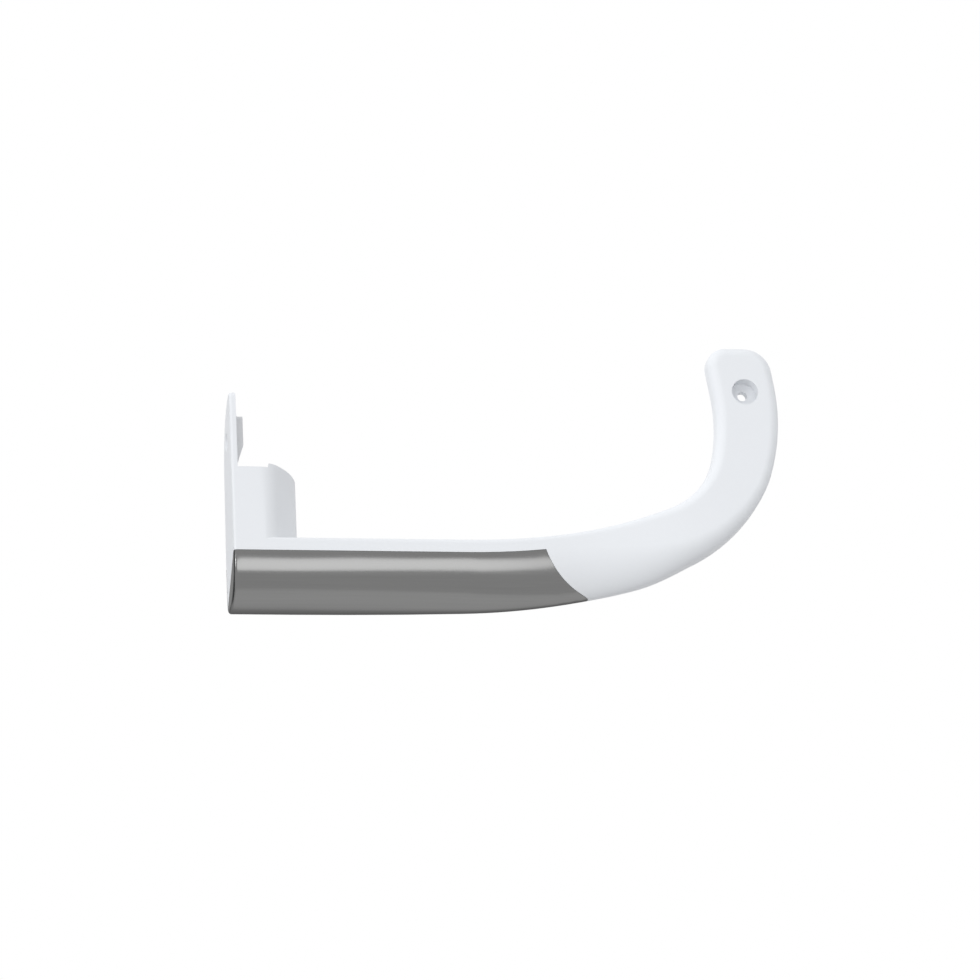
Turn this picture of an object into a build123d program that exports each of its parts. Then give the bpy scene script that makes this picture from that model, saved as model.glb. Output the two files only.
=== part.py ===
from build123d import *
from math import pi, radians, sin
from typing import NamedTuple
import os

# Refrigerator door handle, upright as it hangs on the door, in millimetres.
# Origin: axis of the end plate's screw, on the plate's seating face (the door's top edge).
# X points outward past the door's side face, Y into the door, Z up.

# Place of the door's faces, measured from the plate's screw axis
screw_to_side = 14.0
screw_to_front = 14.7
finger_gap = 35.6

# Grip: its section, and the bends of its door-facing edge from the plate down to the foot
grip_depth = 29.5
grip_width = 30.0
grip_straight = 105.2
sweep_radius = 340.0
sweep_angle = 10.0
turn_radius = 215.0
turn_angle = 10.0
elbow_radius = 33.0
elbow_angle = 56.0
side_flat = 6.8
door_edge_radius = 2.5
palm_edge_radius = 6.0
finger_edge_radius = 4.0
front_roll_share = 0.96
roll_fullness = 0.62
roll_fullness_end = 0.40
flare_start = 0.62
taper_power = 2.6
waist_cut = 3.4
waist_start = 0.76
waist_end = 1.06
run_span_count = 4
sweep_span_count = 12
turn_span_count = 10
elbow_span_count = 14

# Foot on the door's side face, with its counterbored screw hole
foot_thickness = 10.0
foot_radius = 86.0
foot_front_radius = 97.5
foot_angle = 22.0
foot_spread = 4.5
foot_reach = 57.8
foot_step = 0.05
foot_edge_radius = 5.0
foot_seat_radius = 0.8
foot_corner_radius = 9.0
foot_front_corner_radius = 13.0
foot_screw_radius = 2.3
foot_screw_from_end = 23.0
foot_counterbore_radius = 6.2
foot_counterbore_depth = 6.5

# Stand-off post between the grip and the door's front face, cored from the door side
post_flat = 14.5
post_length = 30.6
post_width = 29.5
post_bulge = 2.9
post_crease_radius = 12.0
post_corner_radius = 3.0
post_wall = 2.6
post_floor = 4.0
post_root = 4.0
cap_relief = 2.0

# End plate on the door's top edge
plate_thickness = 3.0
plate_edge_radius = 1.4
fin_width = 27.0
fin_height = 35.3
fin_tip_radius = 3.0
plate_screw_radius = 2.3
countersink_radius = 4.1
countersink_angle = 90.0

# Trim cover round the front of the grip
trim_wall = 2.0
trim_clearance = 0.15
trim_border = 6.9
nose_distance = 169.6
end_seam_depth = 27.0
seat_flat_count = 6
nose_center_depth = 2.7
peg_radius = 2.0
peg_length = 6.0
peg_clearance = 0.15
peg_first = 20.0
peg_spacing = 38.0
peg_count = 3
peg_inset = 19.0

# Locating plug under the end plate
plug_length = 23.6
plug_width = 13.0
plug_corner_radius = 2.5
plug_height = 4.0
plug_flange = 1.3
plug_step = 0.5
plug_recess = 0.8
plug_clearance = 0.1
plug_toe = 1.2
plug_ramp = 8.5

# Length by which a cutting solid stands past what it cuts
overshoot = 20.0

# Share at the grip's end, a quarter turn, and the fullness at which a cubic curve is as round as an arc
full_share = 1.0
quarter_turn = 90.0
round_fullness = 0.5523

side_x = screw_to_side
front_y = -screw_to_front
door_edge_y = front_y - finger_gap
far_x = side_x - grip_width
sweep_length = sweep_radius * radians(sweep_angle)
turn_length = turn_radius * radians(turn_angle)
elbow_length = elbow_radius * radians(elbow_angle)
grip_length = grip_straight + sweep_length + turn_length + elbow_length

os.makedirs("parts", exist_ok=True)

# Door-facing edge of the grip: a straight run and three bends that tighten towards the foot
with BuildLine(Plane.YZ) as door_edge:
    run = Line((door_edge_y, 0), (door_edge_y, -grip_straight))
    sweep_bend = JernArc(run @ 1, run % 1, sweep_radius, sweep_angle)
    turn_bend = JernArc(sweep_bend @ 1, sweep_bend % 1, turn_radius, turn_angle)
    elbow_bend = JernArc(turn_bend @ 1, turn_bend % 1, elbow_radius, elbow_angle)


def cross_plane(distance: float) -> Plane:
    """Plane across the grip: local x runs from the door-facing edge to the front, local y along X."""
    edge = door_edge.wire()
    point = edge.position_at(distance, position_mode=PositionMode.LENGTH)
    along = edge.tangent_at(distance, position_mode=PositionMode.LENGTH)
    return Plane(origin=point, x_dir=along.cross(Vector(1, 0, 0)), z_dir=along * -1)


def depth_at(share: float) -> float:
    """Front-to-back depth of the grip, waisted round the elbow."""
    place = (share - waist_start) / (waist_end - waist_start)
    return grip_depth - waist_cut * sin(pi * max(0.0, place)) ** 2


def mix(first: float, last: float, share: float) -> float:
    """Value between two, at a share of the way."""
    return first + (last - first) * share


class GripShape(NamedTuple):
    """Sizes of one section of the grip: its two sides in X, then depths and roundings."""

    outer: float
    inner: float
    depth: float
    flat: float
    roll: float
    fullness: float
    door_radius: float
    palm_radius: float
    finger_radius: float


def grip_shape(distance: float) -> GripShape:
    """Sizes of the section at a distance down the grip: slim at the plate, flared to the foot."""
    share = distance / grip_length
    rise = max(0.0, (share - flare_start) / (1 - flare_start))
    flare = rise * rise * (3 - 2 * rise)
    outer = side_x + foot_thickness * flare
    inner = side_x - grip_width * (1 - share**taper_power)
    depth = depth_at(share)
    palm_radius = mix(palm_edge_radius, foot_seat_radius, flare)
    return GripShape(
        outer=outer,
        inner=inner,
        depth=depth,
        flat=mix(side_flat, depth - foot_edge_radius, flare),
        roll=mix(front_roll_share * (outer - inner - palm_radius), foot_edge_radius, flare),
        fullness=mix(mix(roll_fullness, roll_fullness_end, share), round_fullness, flare),
        door_radius=mix(door_edge_radius, foot_edge_radius, flare),
        palm_radius=palm_radius,
        finger_radius=mix(finger_edge_radius, foot_seat_radius, flare),
    )


def roll_controls(shape: GripShape, inset: float = 0.0) -> list[Vector]:
    """Control points of the cubic curve that rolls the section over from its outer side to its front."""
    outer = shape.outer - inset
    front = shape.depth - inset
    roll_end = shape.outer - shape.roll
    return [
        Vector(shape.flat, outer),
        Vector(mix(shape.flat, front, shape.fullness), outer),
        Vector(front, mix(roll_end, outer, shape.fullness)),
        Vector(front, roll_end),
    ]


def grip_section(distance: float) -> Sketch:
    """Section of the grip, with its front rolled over from the outer side."""
    shape = grip_shape(distance)
    outer, inner, depth = shape.outer, shape.inner, shape.depth
    door, palm, finger = shape.door_radius, shape.palm_radius, shape.finger_radius
    with BuildSketch(cross_plane(distance)) as section:
        with BuildLine():
            CenterArc((door, outer - door), door, 2 * quarter_turn, -quarter_turn)
            Line((door, outer), (shape.flat, outer))
            Bezier(*roll_controls(shape))
            Line((depth, outer - shape.roll), (depth, inner + palm))
            CenterArc((depth - palm, inner + palm), palm, 0, -quarter_turn)
            Line((depth - palm, inner), (finger, inner))
            CenterArc((finger, inner + finger), finger, 3 * quarter_turn, -quarter_turn)
            Line((0, inner + finger), (0, outer - door))
        make_face()
    return section.sketch


def core_section(distance: float, inset: float) -> Sketch:
    """Section of the trim's seat: flats that lie at least an inset below the grip's surface."""
    shape = grip_shape(distance)
    with BuildSketch(cross_plane(distance)) as section:
        with BuildLine():
            roll = Bezier(*roll_controls(shape, inset), mode=Mode.PRIVATE)
            flats = [roll @ (step / seat_flat_count) for step in range(seat_flat_count + 1)]
            Polyline(
                (0, shape.inner + inset),
                (0, shape.outer - inset),
                *flats,
                (shape.depth - inset, shape.inner + shape.palm_radius),
                (shape.depth - shape.palm_radius, shape.inner + inset),
                close=True,
            )
        make_face()
    return section.sketch


def stops(start: float, length: float, count: int) -> list[float]:
    """Distances that divide one stretch of the grip evenly, its end included."""
    return [start + length * (stop + 1) / count for stop in range(count)]


grip_stops = [0.0] + stops(0.0, grip_straight, run_span_count)
grip_stops += stops(grip_straight, sweep_length, sweep_span_count)
grip_stops += stops(grip_straight + sweep_length, turn_length, turn_span_count)
grip_stops += stops(grip_length - elbow_length, elbow_length, elbow_span_count)
core_stops = [stop for stop in grip_stops if stop < nose_distance + palm_edge_radius]


def trim_zone(clearance: float) -> Sketch:
    """Side view of the room for the trim, with a clearance added to its border and its nose."""
    border = trim_border - clearance
    nose = cross_plane(nose_distance).from_local_coords((nose_center_depth, 0, 0))
    outside = door_edge_y - grip_depth - overshoot
    with BuildSketch(Plane.YZ) as zone:
        with BuildLine():
            top = plate_thickness + overshoot
            side = Line((door_edge_y - border, top), (door_edge_y - border, -grip_straight))
            sweep_side = JernArc(side @ 1, side % 1, sweep_radius + border, sweep_angle)
            turn_side = JernArc(sweep_side @ 1, sweep_side % 1, turn_radius + border, turn_angle)
            Polyline(turn_side @ 1, (outside, (turn_side @ 1).Y), (outside, top), side @ 0)
        make_face()
        with Locations((nose.Y, nose.Z)):
            Circle(grip_depth - clearance, mode=Mode.SUBTRACT)
            below = 2 * grip_length
            Rectangle(below, below, align=(Align.CENTER, Align.MAX), mode=Mode.SUBTRACT)
    return zone.sketch


def end_window(clearance: float) -> Sketch:
    """Opening in the trim's end wall, cut off by a slanted seam, through which the end plate shows."""
    with BuildSketch(cross_plane(0.0)) as window:
        with BuildLine():
            Polyline(
                (0, far_x + trim_wall),
                (0, side_x - trim_wall),
                (trim_border, side_x - trim_wall),
                (end_seam_depth, far_x + trim_wall),
                close=True,
            )
        make_face()
        if clearance > 0:
            offset(amount=-clearance, kind=Kind.INTERSECTION, mode=Mode.REPLACE)
    return window.sketch


def core(clearance: float) -> Part:
    """What the trim wraps round: the grip below its wall, and the plate inside its end window."""
    inset = trim_wall + clearance
    with BuildPart() as block:
        loft([core_section(stop, inset) for stop in core_stops], ruled=True)
        extrude(block.faces().sort_by(Axis.Z)[-1], amount=plate_thickness - inset)
        extrude(end_window(clearance), amount=plate_thickness + overshoot)
    return block.part


# Outer form of the grip and the end plate, before the trim's room is taken out of it
with BuildPart() as outer_form:
    loft([grip_section(stop) for stop in grip_stops], ruled=True)
    with BuildSketch() as plate_outline:
        add(outer_form.faces().sort_by(Axis.Z)[-1])
        with BuildLine():
            fin_side = Line((side_x, door_edge_y - side_flat), (side_x, front_y + fin_height))
            fin_crown = EllipticalCenterArc(
                (side_x, front_y), fin_width, fin_height, quarter_turn, arc_size=quarter_turn
            )
            Polyline(
                fin_crown @ 1,
                (far_x, door_edge_y - finger_edge_radius),
                (far_x, door_edge_y - side_flat),
                fin_side @ 0,
            )
        make_face()
        fillet(plate_outline.vertices().sort_by(Axis.Y)[-1], fin_tip_radius)
    extrude(amount=plate_thickness)
    fillet(outer_form.edges().group_by(Axis.Z)[-1], plate_edge_radius)

# Foot: a curved paddle of even thickness, set a small step inside the grip's last section
foot_along = elbow_bend % 1
foot_across = cross_plane(grip_length).x_dir
foot_start = elbow_bend @ 1 + foot_across * foot_step
foot_front_start = elbow_bend @ 1 + foot_across * (depth_at(full_share) - foot_step)


def level_end(bend: Edge) -> Vector:
    """Point straight on from a bend of the foot's outline, at the level where the foot ends."""
    run_on = (front_y + foot_reach - (bend @ 1).X) / (bend % 1).X
    return bend @ 1 + (bend % 1) * run_on


with BuildPart() as foot:
    with BuildSketch(Plane.YZ.offset(side_x)) as foot_outline:
        with BuildLine():
            heading = (foot_along.Y, foot_along.Z)
            inner_bend = JernArc((foot_start.Y, foot_start.Z), heading, foot_radius, foot_angle)
            front_heading = foot_along.rotate(Axis.X, -foot_spread)
            outer_bend = JernArc(
                (foot_front_start.Y, foot_front_start.Z),
                (front_heading.Y, front_heading.Z),
                foot_front_radius,
                foot_angle + foot_spread,
            )
            inner_side = Line(inner_bend @ 1, level_end(inner_bend))
            outer_side = Line(outer_bend @ 1, level_end(outer_bend))
            Line(inner_side @ 1, outer_side @ 1)
            Line(inner_bend @ 0, outer_bend @ 0)
        make_face()
        fillet(foot_outline.vertices().sort_by_distance(inner_side @ 1)[0], foot_corner_radius)
        fillet(foot_outline.vertices().sort_by_distance(outer_side @ 1)[0], foot_front_corner_radius)
    extrude(amount=foot_thickness - foot_step)
    start_face = (foot_start + foot_front_start) * 0.5
    seat_edges = foot.faces().sort_by(Axis.X)[0].edges().sort_by_distance(start_face)[1:]
    show_edges = foot.faces().sort_by(Axis.X)[-1].edges().sort_by_distance(start_face)[1:]
    chamfer(seat_edges, foot_seat_radius)
    fillet(show_edges, foot_edge_radius)

foot_end = foot_outline.sketch.edges().sort_by(Axis.Y)[-1] @ 0.5
foot_heading = (foot_along.rotate(Axis.X, foot_angle)) * -1
foot_screw = foot_end + foot_heading * foot_screw_from_end

# Room that the trim takes out of the outer form
with BuildPart() as trim_room:
    extrude(trim_zone(trim_clearance), amount=grip_width + overshoot, both=True)
    add(core(trim_clearance), mode=Mode.SUBTRACT)

peg_x = side_x - peg_inset
peg_plane = Plane.XZ.offset(grip_depth - trim_wall / 2 - door_edge_y)
peg_places = [(peg_x, -peg_first - peg_spacing * peg) for peg in range(peg_count)]
post_plane = Plane.XZ.offset(-front_y)

# White moulding: grip, end plate, foot and post in one piece
with BuildPart() as handle_body:
    add(outer_form.part)
    add(foot.part)
    with BuildSketch(post_plane) as post_outline:
        with BuildLine():
            post_side = Line((side_x, 0), (side_x, -post_flat))
            post_round = SagittaArc(post_side @ 1, (side_x - post_width, -post_length), post_bulge)
            Polyline(post_round @ 1, (side_x - post_width, 0), post_side @ 0)
        make_face()
        fillet(post_outline.vertices().sort_by_distance(post_side @ 1)[0], post_crease_radius)
        fillet(post_outline.vertices().sort_by_distance(post_round @ 1)[0], post_corner_radius)
    extrude(amount=finger_gap + post_root)
    with BuildSketch(post_plane):
        add(post_outline.sketch_local)
        offset(amount=-post_wall, mode=Mode.REPLACE)
    extrude(amount=finger_gap - post_floor, mode=Mode.SUBTRACT)
    with BuildSketch(post_plane):
        with Locations((side_x, 0)):
            Rectangle(grip_width, post_flat, align=(Align.MAX, Align.MAX))
    extrude(amount=cap_relief, mode=Mode.SUBTRACT)
    add(trim_room.part, mode=Mode.SUBTRACT)
    with BuildSketch(peg_plane):
        with Locations(*peg_places):
            Circle(peg_radius + peg_clearance)
    extrude(amount=-(trim_wall / 2 + peg_length + peg_clearance), mode=Mode.SUBTRACT)
    with BuildSketch():
        RectangleRounded(
            plug_width + 2 * plug_clearance,
            plug_length + 2 * plug_clearance,
            plug_corner_radius + plug_clearance,
        )
    extrude(amount=plug_recess, mode=Mode.SUBTRACT)
    with Locations((0, 0, plate_thickness)):
        CounterSinkHole(plate_screw_radius, countersink_radius, plate_thickness, countersink_angle)
    with Locations(Plane((side_x + foot_thickness, foot_screw.Y, foot_screw.Z), z_dir=(1, 0, 0))):
        CounterBoreHole(
            foot_screw_radius, foot_counterbore_radius, foot_counterbore_depth, foot_thickness
        )

handle_body.part.label = "handle_body"
export_step(handle_body.part, "parts/handle_body.step")

# Silver cover, drawn from the same outer form, with pegs that press into the grip
with BuildPart() as grip_trim:
    add(outer_form.part)
    extrude(trim_zone(0.0), amount=grip_width + overshoot, both=True, mode=Mode.INTERSECT)
    add(core(0.0), mode=Mode.SUBTRACT)
    with BuildSketch(peg_plane):
        with Locations(*peg_places):
            Circle(peg_radius)
    extrude(amount=-(trim_wall / 2 + peg_length))

grip_trim.part.label = "grip_trim"
export_step(grip_trim.part, "parts/grip_trim.step")

# Grey plug, seated in the plate's recess, ramped at its front end
with BuildPart() as locating_plug:
    with BuildSketch(Plane.XY.offset(plug_recess)):
        RectangleRounded(plug_width, plug_length, plug_corner_radius)
    extrude(amount=-(plug_recess + plug_flange))
    with BuildSketch(Plane.XY.offset(-plug_flange)):
        RectangleRounded(
            plug_width - 2 * plug_step,
            plug_length - 2 * plug_step,
            plug_corner_radius - plug_step,
        )
    extrude(amount=-(plug_height - plug_flange))
    with BuildSketch(Plane.YZ):
        with BuildLine():
            Polyline(
                (plug_ramp - plug_length / 2, -plug_height),
                (-plug_length / 2, -plug_toe),
                (-plug_length / 2, -plug_height),
                close=True,
            )
        make_face()
    extrude(amount=plug_width, both=True, mode=Mode.SUBTRACT)
    with Locations((0, 0, plug_recess)):
        Hole(plate_screw_radius)

locating_plug.part.label = "locating_plug"
export_step(locating_plug.part, "parts/locating_plug.step")
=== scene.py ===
import logging
import math
from dataclasses import dataclass
from enum import Enum

import bpy
from mathutils import Matrix, Vector


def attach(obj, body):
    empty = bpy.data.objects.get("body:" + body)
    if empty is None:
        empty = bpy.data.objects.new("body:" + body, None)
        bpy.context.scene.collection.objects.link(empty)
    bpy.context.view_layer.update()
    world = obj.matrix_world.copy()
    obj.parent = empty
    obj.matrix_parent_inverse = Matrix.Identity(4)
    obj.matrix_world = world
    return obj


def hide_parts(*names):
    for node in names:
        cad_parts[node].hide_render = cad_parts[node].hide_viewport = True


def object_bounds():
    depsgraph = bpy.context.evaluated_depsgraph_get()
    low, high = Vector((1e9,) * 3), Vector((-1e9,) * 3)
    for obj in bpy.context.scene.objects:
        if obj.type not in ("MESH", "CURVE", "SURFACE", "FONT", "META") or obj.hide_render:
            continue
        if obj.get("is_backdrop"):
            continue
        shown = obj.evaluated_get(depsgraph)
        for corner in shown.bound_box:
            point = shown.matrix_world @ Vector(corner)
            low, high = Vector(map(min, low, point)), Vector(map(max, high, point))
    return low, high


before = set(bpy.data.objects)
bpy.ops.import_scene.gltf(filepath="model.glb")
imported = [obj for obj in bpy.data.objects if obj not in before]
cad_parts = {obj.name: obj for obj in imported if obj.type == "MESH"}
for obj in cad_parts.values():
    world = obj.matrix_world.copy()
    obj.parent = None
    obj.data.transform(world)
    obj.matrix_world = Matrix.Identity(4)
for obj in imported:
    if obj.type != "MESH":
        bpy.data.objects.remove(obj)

LOG = logging.getLogger("handle_scene")
MM = 0.001
ROOT_BODY = "root"

Pair = tuple[float, float]
Triple = tuple[float, float, float]


class Slot(Enum):
    """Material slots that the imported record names."""

    WHITE = "white_plastic"
    SILVER = "satin_silver"
    GREY = "grey_plastic"


class GrainGroup:
    """Node group with fine surface grain, shared by every finish on the handle."""

    NAME = "surface_grain"

    @classmethod
    def get(cls) -> bpy.types.NodeTree:
        """Finds the group, or builds it the first time."""
        return bpy.data.node_groups.get(cls.NAME) or cls._build()

    @classmethod
    def _build(cls) -> bpy.types.NodeTree:
        """Builds the group: noise in object space, stretched, as a mask and as a bump.

        Returns:
            The shader node group with Stretch, Detail and Height in, and Mask and Normal out.
        """
        group = bpy.data.node_groups.new(cls.NAME, "ShaderNodeTree")
        face = group.interface
        face.new_socket("Stretch", in_out="INPUT", socket_type="NodeSocketVector")
        face.new_socket("Detail", in_out="INPUT", socket_type="NodeSocketFloat")
        face.new_socket("Height", in_out="INPUT", socket_type="NodeSocketFloat")
        face.new_socket("Mask", in_out="OUTPUT", socket_type="NodeSocketFloat")
        face.new_socket("Normal", in_out="OUTPUT", socket_type="NodeSocketVector")
        nodes, links = group.nodes, group.links
        entry = nodes.new("NodeGroupInput")
        leave = nodes.new("NodeGroupOutput")
        place = nodes.new("ShaderNodeTexCoord")
        scale = nodes.new("ShaderNodeVectorMath")
        scale.operation = "MULTIPLY"
        noise = nodes.new("ShaderNodeTexNoise")
        noise.inputs["Scale"].default_value = 1.0
        bump = nodes.new("ShaderNodeBump")
        bump.inputs["Strength"].default_value = 1.0
        links.new(place.outputs["Object"], scale.inputs[0])
        links.new(entry.outputs["Stretch"], scale.inputs[1])
        links.new(scale.outputs["Vector"], noise.inputs["Vector"])
        links.new(entry.outputs["Detail"], noise.inputs["Detail"])
        links.new(noise.outputs["Fac"], bump.inputs["Height"])
        links.new(entry.outputs["Height"], bump.inputs["Distance"])
        links.new(noise.outputs["Fac"], leave.inputs["Mask"])
        links.new(bump.outputs["Normal"], leave.inputs["Normal"])
        return group


@dataclass(frozen=True)
class Finish:
    """One procedural finish: colours, gloss and grain, with sizes in metres.

    Attributes:
        slot: Material slot of the record that this finish fills.
        light: Base colour where the grain is high.
        dark: Base colour where the grain is low.
        roughness: Lowest and highest roughness that the grain mixes.
        stretch: Noise cells per metre along X, Y and Z.
        height: Depth of the grain's bump.
        detail: Layers of finer noise in the grain.
        metallic: Share of metal in the shader.
        specular: Strength of the reflection at right angles.
        glance: Share of the reflection that stays at a glancing angle.
    """

    slot: Slot
    light: Triple
    dark: Triple
    roughness: Pair
    stretch: Triple
    height: float
    detail: float = 4.0
    metallic: float = 0.0
    specular: float = 0.5
    glance: float = 1.0

    def build(self) -> bpy.types.Material:
        """Makes the material.

        Returns:
            A node material named after its slot.
        """
        material = bpy.data.materials.new(self.slot.value)
        material.use_nodes = True
        nodes, links = material.node_tree.nodes, material.node_tree.links
        shader = nodes["Principled BSDF"]
        shader.inputs["Metallic"].default_value = self.metallic
        shader.inputs["Specular IOR Level"].default_value = self.specular
        shader.inputs["Specular Tint"].default_value = (self.glance, self.glance, self.glance, 1.0)
        grain = nodes.new("ShaderNodeGroup")
        grain.node_tree = GrainGroup.get()
        grain.inputs["Stretch"].default_value = self.stretch
        grain.inputs["Detail"].default_value = self.detail
        grain.inputs["Height"].default_value = self.height
        tone = nodes.new("ShaderNodeMix")
        tone.data_type = "RGBA"
        tone.inputs["A"].default_value = (*self.dark, 1.0)
        tone.inputs["B"].default_value = (*self.light, 1.0)
        gloss = nodes.new("ShaderNodeMapRange")
        gloss.inputs["To Min"].default_value, gloss.inputs["To Max"].default_value = self.roughness
        links.new(grain.outputs["Mask"], tone.inputs["Factor"])
        links.new(grain.outputs["Mask"], gloss.inputs["Value"])
        links.new(tone.outputs["Result"], shader.inputs["Base Color"])
        links.new(gloss.outputs["Result"], shader.inputs["Roughness"])
        links.new(grain.outputs["Normal"], shader.inputs["Normal"])
        return material


WHITE = Finish(
    Slot.WHITE,
    light=(0.85, 0.862, 0.882),
    dark=(0.838, 0.851, 0.870),
    roughness=(0.40, 0.48),
    stretch=(700.0, 700.0, 700.0),
    height=0.006 * MM,
    specular=0.22,
)
# Painted reflected shade: the silver's base colour is held at 0.17 to 0.20, far darker than bare
# silver. Under the white ground that reflections see, it renders dark grey, as a silver cover
# reflecting a dim room would. Glance 0.35 also dims its reflection at glancing angles, which
# darkens its end wall and lower edge.
SILVER = Finish(
    Slot.SILVER,
    light=(0.20, 0.20, 0.199),
    dark=(0.172, 0.172, 0.171),
    roughness=(0.14, 0.22),
    stretch=(1500.0, 1500.0, 14.0),
    height=0.004 * MM,
    metallic=1.0,
    glance=0.35,
)
GREY = Finish(
    Slot.GREY,
    light=(0.76, 0.765, 0.775),
    dark=(0.71, 0.715, 0.725),
    roughness=(0.45, 0.6),
    stretch=(900.0, 900.0, 900.0),
    height=0.012 * MM,
    specular=0.2,
)


@dataclass(frozen=True)
class Skin:
    """Smooth-shaded skin that stands for one CAD node, welded from its own solid.

    Attributes:
        node: CAD node that the skin replaces.
        finish: Finish that it wears.
        weld: Distance under which the solid's edge points are one point.
        crease: Angle past which an edge stays sharp, in degrees.
    """

    node: str
    finish: Finish
    weld: float = 0.002 * MM
    crease: float = 28.0

    def build(self) -> bpy.types.Object:
        """Builds the skin and puts it on the body.

        Returns:
            The new mesh object.
        """
        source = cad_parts[self.node].data
        mesh = bpy.data.meshes.new(f"{self.node}_skin")
        points = [tuple(vertex.co) for vertex in source.vertices]
        faces = [tuple(polygon.vertices) for polygon in source.polygons]
        mesh.from_pydata(*self._welded(points, faces))
        mesh.validate()
        mesh.shade_smooth()
        mesh.set_sharp_from_angle(angle=math.radians(self.crease))
        mesh.materials.append(self.finish.build())
        skin = bpy.data.objects.new(f"{self.node}_skin", mesh)
        bpy.context.scene.collection.objects.link(skin)
        normals = skin.modifiers.new("weighted_normals", "WEIGHTED_NORMAL")
        normals.keep_sharp = True
        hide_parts(self.node)
        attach(skin, ROOT_BODY)
        return skin

    def _welded(self, points: list[Triple], faces: list[tuple]) -> tuple[list, list, list]:
        """Joins points that lie on each other, and drops faces that close up.

        Args:
            points: Corner positions of the solid's mesh.
            faces: Point numbers of each triangle.

        Returns:
            Points, an empty list of edges, and faces, as from_pydata takes them.
        """
        seen: dict[tuple, int] = {}
        kept: list[Triple] = []
        place: list[int] = []
        for point in points:
            key = tuple(round(value / self.weld) for value in point)
            if key not in seen:
                seen[key] = len(kept)
                kept.append(point)
            place.append(seen[key])
        joined = [tuple(place[corner] for corner in face) for face in faces]
        return kept, [], [face for face in joined if len(set(face)) == len(face)]


@dataclass(frozen=True)
class Handle:
    """The whole handle: white moulding, silver cover and grey plug.

    Attributes:
        body: Grip, foot, post and end plate.
        trim: Cover round the front of the grip.
        plug: Block under the end plate.
    """

    body: Skin = Skin("handle_body", WHITE)
    trim: Skin = Skin("grip_trim", SILVER)
    plug: Skin = Skin("locating_plug", GREY)

    def build(self) -> list[bpy.types.Object]:
        """Builds each skin, and returns the new objects."""
        return [skin.build() for skin in (self.body, self.trim, self.plug)]


@dataclass(frozen=True)
class PhotoCamera:
    """Camera of the photograph: a long lens, turned so that the part's +Y is up in the picture.

    Attributes:
        yaw: Turn round the part's Y axis, in degrees.
        pitch: Height of the view towards the front of the grip, in degrees.
        roll: Turn about the line of sight, in degrees.
        distance: Distance from the pivot.
        reach: Farthest distance that the camera shows.
        pixel: Size of one pixel at the pivot.
        pivot: Point of the part that the view is measured from.
        center: Pixel where the pivot lies in the picture.
        frame_pixels: Width of the picture.
        sensor: Width of the sensor, in millimetres as Blender takes it.
    """

    yaw: float = 10.5
    pitch: float = 20.0
    roll: float = 0.8
    distance: float = 2.5
    reach: float = 20.0
    pixel: float = 0.461 * MM
    pivot: Triple = (0.010, -0.0317, -0.122)
    center: Pair = (500.5, 503.5)
    frame_pixels: float = 980.0
    sensor: float = 36.0

    def axes(self) -> tuple[Vector, Vector, Vector]:
        """Works out the camera's own axes in the part's frame.

        Returns:
            Unit vectors to the right, up and back towards the camera.
        """
        yaw, pitch = math.radians(self.yaw), math.radians(self.pitch)
        flat = math.cos(pitch)
        back = Vector((math.cos(yaw) * flat, -math.sin(pitch), math.sin(yaw) * flat))
        level = Vector((0.0, 0.0, -1.0))
        right = (level - level.dot(back) * back).normalized()
        right = Matrix.Rotation(math.radians(self.roll), 3, back) @ right
        return right, back.cross(right), back

    def build(self) -> bpy.types.Object:
        """Makes the camera and hands it to the scene.

        Returns:
            The camera object.
        """
        right, up, back = self.axes()
        middle = self.frame_pixels / 2
        aim = Vector(self.pivot)
        aim += right * (middle - self.center[0]) * self.pixel
        aim += up * (self.center[1] - middle) * self.pixel
        data = bpy.data.cameras.new("photo_camera")
        data.sensor_width = self.sensor
        data.lens = self.sensor * self.distance / (self.pixel * self.frame_pixels)
        data.clip_end = self.reach
        camera = bpy.data.objects.new("photo_camera", data)
        bpy.context.scene.collection.objects.link(camera)
        turn = Matrix((right, up, back)).transposed()
        camera.matrix_world = Matrix.Translation(aim + back * self.distance) @ turn.to_4x4()
        bpy.context.scene.camera = camera
        return camera


@dataclass(frozen=True)
class Softbox:
    """One soft area light.

    Attributes:
        name: Name of the light.
        direction: Way from the part to the light.
        distance: Distance of the light from the part's middle.
        size: Width across and height along the part's Z of its oval face.
        radiance: Brightness of its face, where 1 is white.
    """

    name: str
    direction: Triple
    distance: float
    size: Pair
    radiance: float

    def build(self, aim: Vector) -> bpy.types.Object:
        """Makes the light and turns it to the part.

        Args:
            aim: Point that the light faces.

        Returns:
            The light object.
        """
        data = bpy.data.lights.new(self.name, "AREA")
        data.shape = "ELLIPSE"
        data.size, data.size_y = self.size
        face_area = math.pi / 4 * self.size[0] * self.size[1]
        data.energy = self.radiance * math.pi * face_area
        light = bpy.data.objects.new(self.name, data)
        bpy.context.scene.collection.objects.link(light)
        way = Vector(self.direction).normalized()
        light.location = aim + way * self.distance
        light.rotation_euler = way.to_track_quat("Z", "Y").to_euler()
        return light


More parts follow.
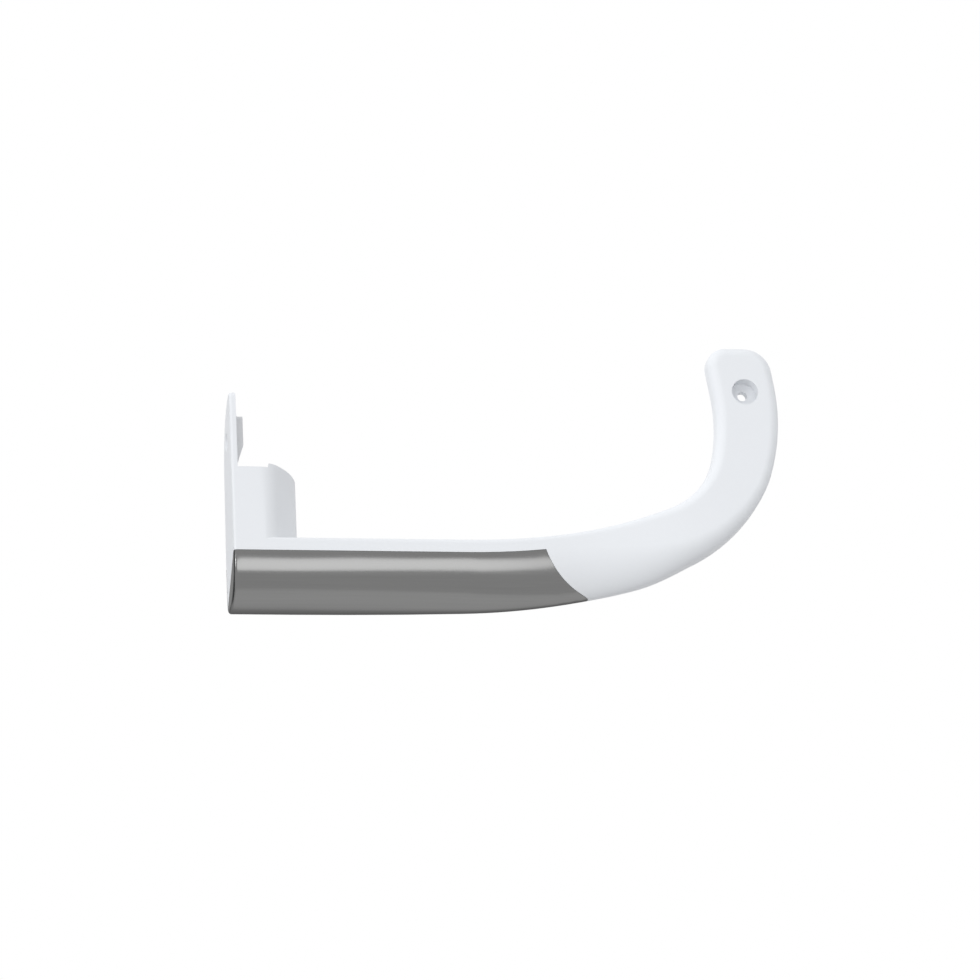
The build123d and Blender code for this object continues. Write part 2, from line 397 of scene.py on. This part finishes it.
@dataclass(frozen=True)
class RoomTone:
    """How much soft light the surroundings give from each direction.

    Attributes:
        level: Brightness on the whole, where 1 is white.
        slope: Change of brightness from the middle of each axis to its positive end.
        tint: Colour of the light.
    """

    level: float
    slope: Triple
    tint: Triple

    def add_to(self, tree: bpy.types.NodeTree) -> bpy.types.NodeSocket:
        """Puts the tone into a world's nodes.

        Args:
            tree: Node tree of the world.

        Returns:
            The socket that gives the colour.
        """
        place = tree.nodes.new("ShaderNodeTexCoord")
        slope = tree.nodes.new("ShaderNodeVectorMath")
        slope.operation = "DOT_PRODUCT"
        slope.inputs[1].default_value = self.slope
        tone = tree.nodes.new("ShaderNodeMath")
        tone.operation = "ADD"
        tone.inputs[0].default_value = self.level
        tint = tree.nodes.new("ShaderNodeVectorMath")
        tint.operation = "SCALE"
        tint.inputs["Vector"].default_value = self.tint
        tree.links.new(place.outputs["Generated"], slope.inputs[0])
        tree.links.new(slope.outputs["Value"], tone.inputs[1])
        tree.links.new(tone.outputs["Value"], tint.inputs["Scale"])
        return tint.outputs["Vector"]


@dataclass(frozen=True)
class Studio:
    """Pale floor, white ground and soft light round the part.

    Attributes:
        ambient: Light that the surroundings give to matt surfaces.
        floor_drop: Distance of the floor below the part.
        floor_radius: Radius of the round floor.
        floor_sides: Sides of the floor's outline.
        floor_tone: Grey level of the floor.
        card_rise: Distance of the dark card above the part.
        card_low: Lowest X and Y of the card.
        card_high: Highest X and Y of the card.
        card_tone: Grey level of the card.
        matt: Roughness of floor and card.
        key: Main soft light, near the camera.
        edge: Smaller light over the end plate, which picks out its edges.
        fill: Weak light from the front of the grip.
    """

    ambient: RoomTone = RoomTone(0.705, (0.12, 0.32, 0.46), (0.985, 1.0, 1.02))
    floor_drop: float = 0.60
    floor_radius: float = 0.55
    floor_sides: int = 96
    floor_tone: float = 0.80
    card_rise: float = 0.35
    card_low: Pair = (-0.42, -0.50)
    card_high: Pair = (0.07, 0.22)
    card_tone: float = 0.40
    matt: float = 0.9
    key: Softbox = Softbox("key", (0.976, -0.190, -0.105), 2.0, (1.0, 0.68), 2.05)
    edge: Softbox = Softbox("edge", (0.60, 0.0, 0.80), 1.5, (0.36, 0.36), 8.0)
    fill: Softbox = Softbox("fill", (-0.30, -0.95, -0.12), 1.5, (2.0, 1.0), 0.24)

    def build(self, low: Vector, high: Vector) -> None:
        """Sets up world, floor, card and lights.

        Args:
            low: Lowest corner of the part's box.
            high: Highest corner of the part's box.
        """
        middle = (low + high) / 2
        self._world()
        self._floor(middle, low.z - self.floor_drop)
        self._card(high.z + self.card_rise)
        for light in (self.key, self.edge, self.fill):
            light.build(middle)
        bpy.context.scene.view_settings.view_transform = "Standard"

    def _world(self) -> None:
        """Makes a world of soft light, which the camera and reflections see as white."""
        world = bpy.data.worlds.new("studio")
        world.use_nodes = True
        bpy.context.scene.world = world
        nodes, links = world.node_tree.nodes, world.node_tree.links
        path = nodes.new("ShaderNodeLightPath")
        shown = path.outputs["Is Camera Ray"]
        for kind in ("Is Glossy Ray", "Is Transmission Ray"):
            either = nodes.new("ShaderNodeMath")
            either.operation = "MAXIMUM"
            links.new(shown, either.inputs[0])
            links.new(path.outputs[kind], either.inputs[1])
            shown = either.outputs["Value"]
        seen = nodes.new("ShaderNodeMix")
        seen.data_type = "RGBA"
        seen.inputs["B"].default_value = (1.0, 1.0, 1.0, 1.0)
        links.new(shown, seen.inputs["Factor"])
        links.new(self.ambient.add_to(world.node_tree), seen.inputs["A"])
        links.new(seen.outputs["Result"], nodes["Background"].inputs["Color"])

    def _floor(self, middle: Vector, height: float) -> None:
        """Makes the round floor under the part.

        Args:
            middle: Middle of the part's box.
            height: Height of the floor.
        """
        ring = []
        for side in range(self.floor_sides):
            angle = 2 * math.pi * side / self.floor_sides
            east = middle.x + self.floor_radius * math.cos(angle)
            north = middle.y + self.floor_radius * math.sin(angle)
            ring.append((east, north, height))
        self._stage("floor", ring, self.floor_tone)

    def _card(self, height: float) -> None:
        """Makes the dark card over the end plate, which reflections show and the camera doesn't.

        Args:
            height: Height of the card.
        """
        (west, south), (east, north) = self.card_low, self.card_high
        corners = ((west, south), (east, south), (east, north), (west, north))
        card = self._stage("card", [(*corner, height) for corner in corners], self.card_tone)
        card.visible_camera = False

    def _stage(self, name: str, ring: list[Triple], tone: float) -> bpy.types.Object:
        """Makes one flat matt stage piece.

        Args:
            name: Name of the piece.
            ring: Corners of its outline, in order.
            tone: Grey level of its colour.

        Returns:
            The stage object.
        """
        mesh = bpy.data.meshes.new(name)
        mesh.from_pydata(ring, [], [tuple(range(len(ring)))])
        piece = bpy.data.objects.new(name, mesh)
        bpy.context.scene.collection.objects.link(piece)
        material = bpy.data.materials.new(f"{name}_matt")
        material.use_nodes = True
        shader = material.node_tree.nodes["Principled BSDF"]
        shader.inputs["Base Color"].default_value = (tone, tone, tone, 1.0)
        shader.inputs["Roughness"].default_value = self.matt
        mesh.materials.append(material)
        piece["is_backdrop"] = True
        return piece


def main() -> None:
    """Builds the handle, the studio and the camera, and reports each piece."""
    logging.basicConfig(level=logging.INFO)
    low, high = (Vector(corner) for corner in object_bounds())
    for skin in Handle().build():
        LOG.info("%s: %d faces", skin.name, len(skin.data.polygons))
    Studio().build(low, high)
    PhotoCamera().build()


if __name__ == "__main__":
    main()
